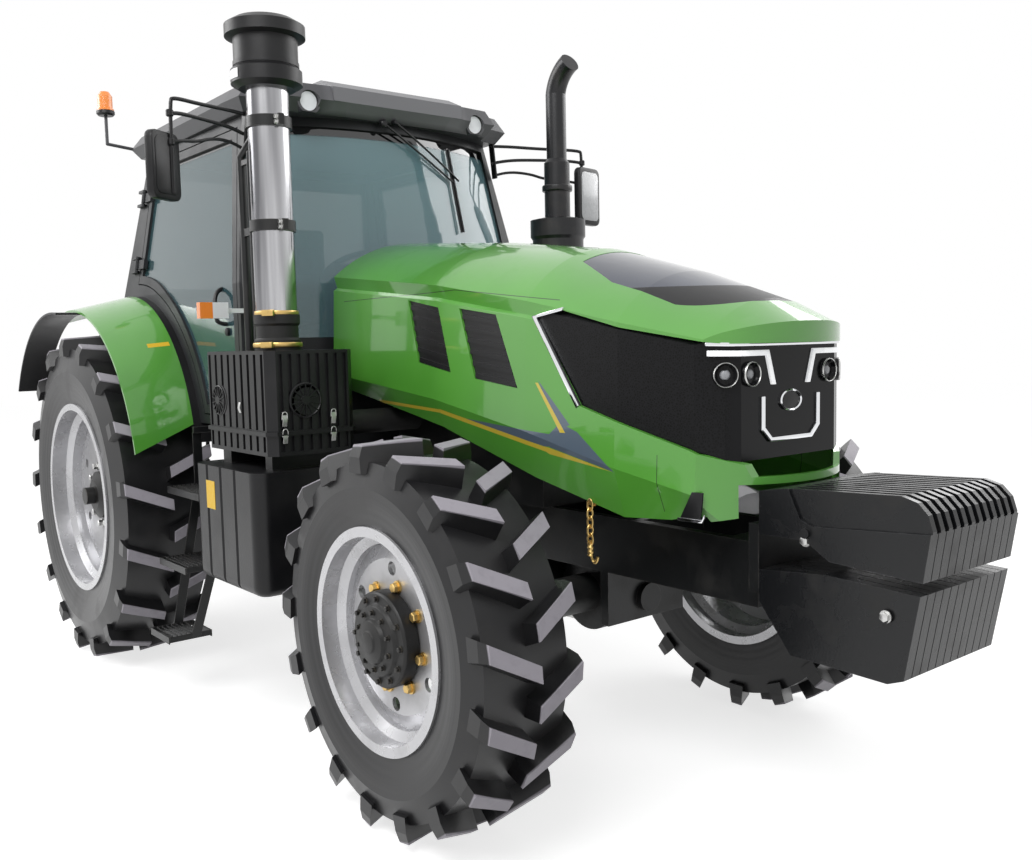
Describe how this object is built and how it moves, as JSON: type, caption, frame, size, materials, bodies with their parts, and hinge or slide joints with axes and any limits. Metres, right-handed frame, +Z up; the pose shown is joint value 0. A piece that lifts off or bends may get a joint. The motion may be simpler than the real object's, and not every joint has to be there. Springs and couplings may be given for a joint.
{
  "type": "farm tractor",
  "caption": "Green four-wheel-drive farm tractor with a glazed cab, a hinged hood and a rear three-point hitch.",
  "frame": {"origin": "on the ground, under the centre of the bounding box", "axes": "+X forward, towards the hood; +Y to the driver's left; +Z up"},
  "size_m": [5.415, 2.7, 3.1043],
  "materials": {
    "body_green": "gloss",
    "frame_green": "semi-gloss",
    "wheel_silver": "satin",
    "black_plastic": "matte",
    "gloss_black": "gloss",
    "roof_grey": "satin",
    "dark_paint": "satin",
    "rubber": "matte",
    "tyre": "matte",
    "chrome": "polished",
    "steel": "satin",
    "glass": "clear",
    "lamp": "gloss",
    "beacon": "gloss",
    "seat": "matte",
    "iron": "matte"
  },
  "bodies": {
    "chassis": {"air_cleaner_box": "black_plastic", "battery_box": "black_plastic", "beacon": "beacon", "cab_frame": "dark_paint", "cab_roof": "roof_grey", "cab_steps": "dark_paint", "dashboard": "black_plastic", "engine": "iron", "exhaust_pipe": "chrome", "exhaust_silencer": "dark_paint", "fenders": "body_green", "firewall": "dark_paint", "front_axle_beam": "frame_green", "front_frame": "frame_green", "front_weights": "dark_paint", "fuel_tank": "black_plastic", "gearbox": "frame_green", "hitch_frame": "frame_green", "intake_duct": "black_plastic", "intake_hose": "rubber", "intake_pipe": "chrome", "mirrors": "black_plastic", "operator_seat": "seat", "pre_cleaner": "black_plastic", "rear_axle_housing": "frame_green", "rear_window": "glass", "roof_lamps": "lamp", "side_brackets": "dark_paint", "stack_guard": "dark_paint", "steering_cylinder": "steel", "steering_wheel": "black_plastic", "turn_lamps": "beacon", "wheel_arches": "dark_paint", "windscreen": "glass"},
    "hood": {"hood": "body_green", "hood_grilles": "black_plastic", "grille_mask": "gloss_black", "headlamps": "lamp"},
    "door_left": {"door_left": "dark_paint", "door_glass_left": "glass"},
    "door_right": {"door_right": "dark_paint", "door_glass_right": "glass"},
    "knuckle_left": {"knuckle_left": "frame_green"},
    "knuckle_right": {"knuckle_right": "frame_green"},
    "lower_links": {"lower_links": "dark_paint"},
    "lift_arms": {"lift_arms": "frame_green"},
    "lift_rods": {"lift_rods": "dark_paint"},
    "pto": {"pto_shaft": "steel"},
    "front_wheel_left": {"front_tyre_left": "tyre", "front_rim_left": "wheel_silver", "front_hub_left": "dark_paint"},
    "rear_wheel_left": {"rear_tyre_left": "tyre", "rear_rim_left": "wheel_silver", "rear_hub_left": "dark_paint"},
    "front_wheel_right": {"front_tyre_right": "tyre", "front_rim_right": "wheel_silver", "front_hub_right": "dark_paint"},
    "rear_wheel_right": {"rear_tyre_right": "tyre", "rear_rim_right": "wheel_silver", "rear_hub_right": "dark_paint"}
  },
  "joints": [
    {"name": "hood_lid", "type": "hinge", "parent": "chassis", "child": "hood", "pos_m": [-0.0555, 0, 2.048], "axis": [0, -1, 0], "range_deg": [0, 45]},
    {"name": "steer_right", "type": "hinge", "parent": "chassis", "child": "knuckle_right", "pos_m": [1.2085, -0.79, 0.675], "axis": [0, 0, 1], "range_deg": [-32, 32]},
    {"name": "steer_left", "type": "hinge", "parent": "chassis", "child": "knuckle_left", "pos_m": [1.2085, 0.79, 0.675], "axis": [0, 0, 1], "range_deg": [-32, 32]},
    {"name": "front_wheel_spin_right", "type": "hinge", "parent": "knuckle_right", "child": "front_wheel_right", "pos_m": [1.2085, -0.92, 0.675], "axis": [0, 1, 0], "continuous": true},
    {"name": "front_wheel_spin_left", "type": "hinge", "parent": "knuckle_left", "child": "front_wheel_left", "pos_m": [1.2085, 0.92, 0.675], "axis": [0, 1, 0], "continuous": true},
    {"name": "rear_wheel_spin_right", "type": "hinge", "parent": "chassis", "child": "rear_wheel_right", "pos_m": [-1.6475, -1.008, 0.872], "axis": [0, 1, 0], "continuous": true},
    {"name": "rear_wheel_spin_left", "type": "hinge", "parent": "chassis", "child": "rear_wheel_left", "pos_m": [-1.6475, 1.008, 0.872], "axis": [0, 1, 0], "continuous": true},
    {"name": "door_left", "type": "hinge", "parent": "chassis", "child": "door_left", "pos_m": [-1.6755, 0.846, 1.954], "axis": [0, -0.153, 0.9882], "range_deg": [0, 75]},
    {"name": "door_right", "type": "hinge", "parent": "chassis", "child": "door_right", "pos_m": [-1.6755, -0.846, 1.954], "axis": [0, -0.153, -0.9882], "range_deg": [0, 75]},
    {"name": "lower_links_lift", "type": "hinge", "parent": "chassis", "child": "lower_links", "pos_m": [-1.8075, 0, 0.56], "axis": [0, 1, 0], "range_deg": [-12, 28]},
    {"name": "lift_arms_turn", "type": "hinge", "parent": "chassis", "child": "lift_arms", "pos_m": [-1.8375, 0, 1.15], "axis": [0, 1, 0], "range_deg": [-20, 46]},
    {"name": "lift_rods_swing", "type": "hinge", "parent": "lift_arms", "child": "lift_rods", "pos_m": [-2.10684, 0, 1.13117], "axis": [0, 1, 0], "range_deg": [-46, 20]},
    {"name": "pto_spin", "type": "hinge", "parent": "chassis", "child": "pto", "pos_m": [-1.9975, 0, 0.76], "axis": [1, 0, 0], "continuous": true}
  ],
  "couplings": [
    {"joint": "steer_left", "follows": "steer_right", "ratio": 1},
    {"joint": "lift_arms_turn", "follows": "lower_links_lift", "ratio": 1.62},
    {"joint": "lift_rods_swing", "follows": "lower_links_lift", "ratio": -1.6}
  ]
}
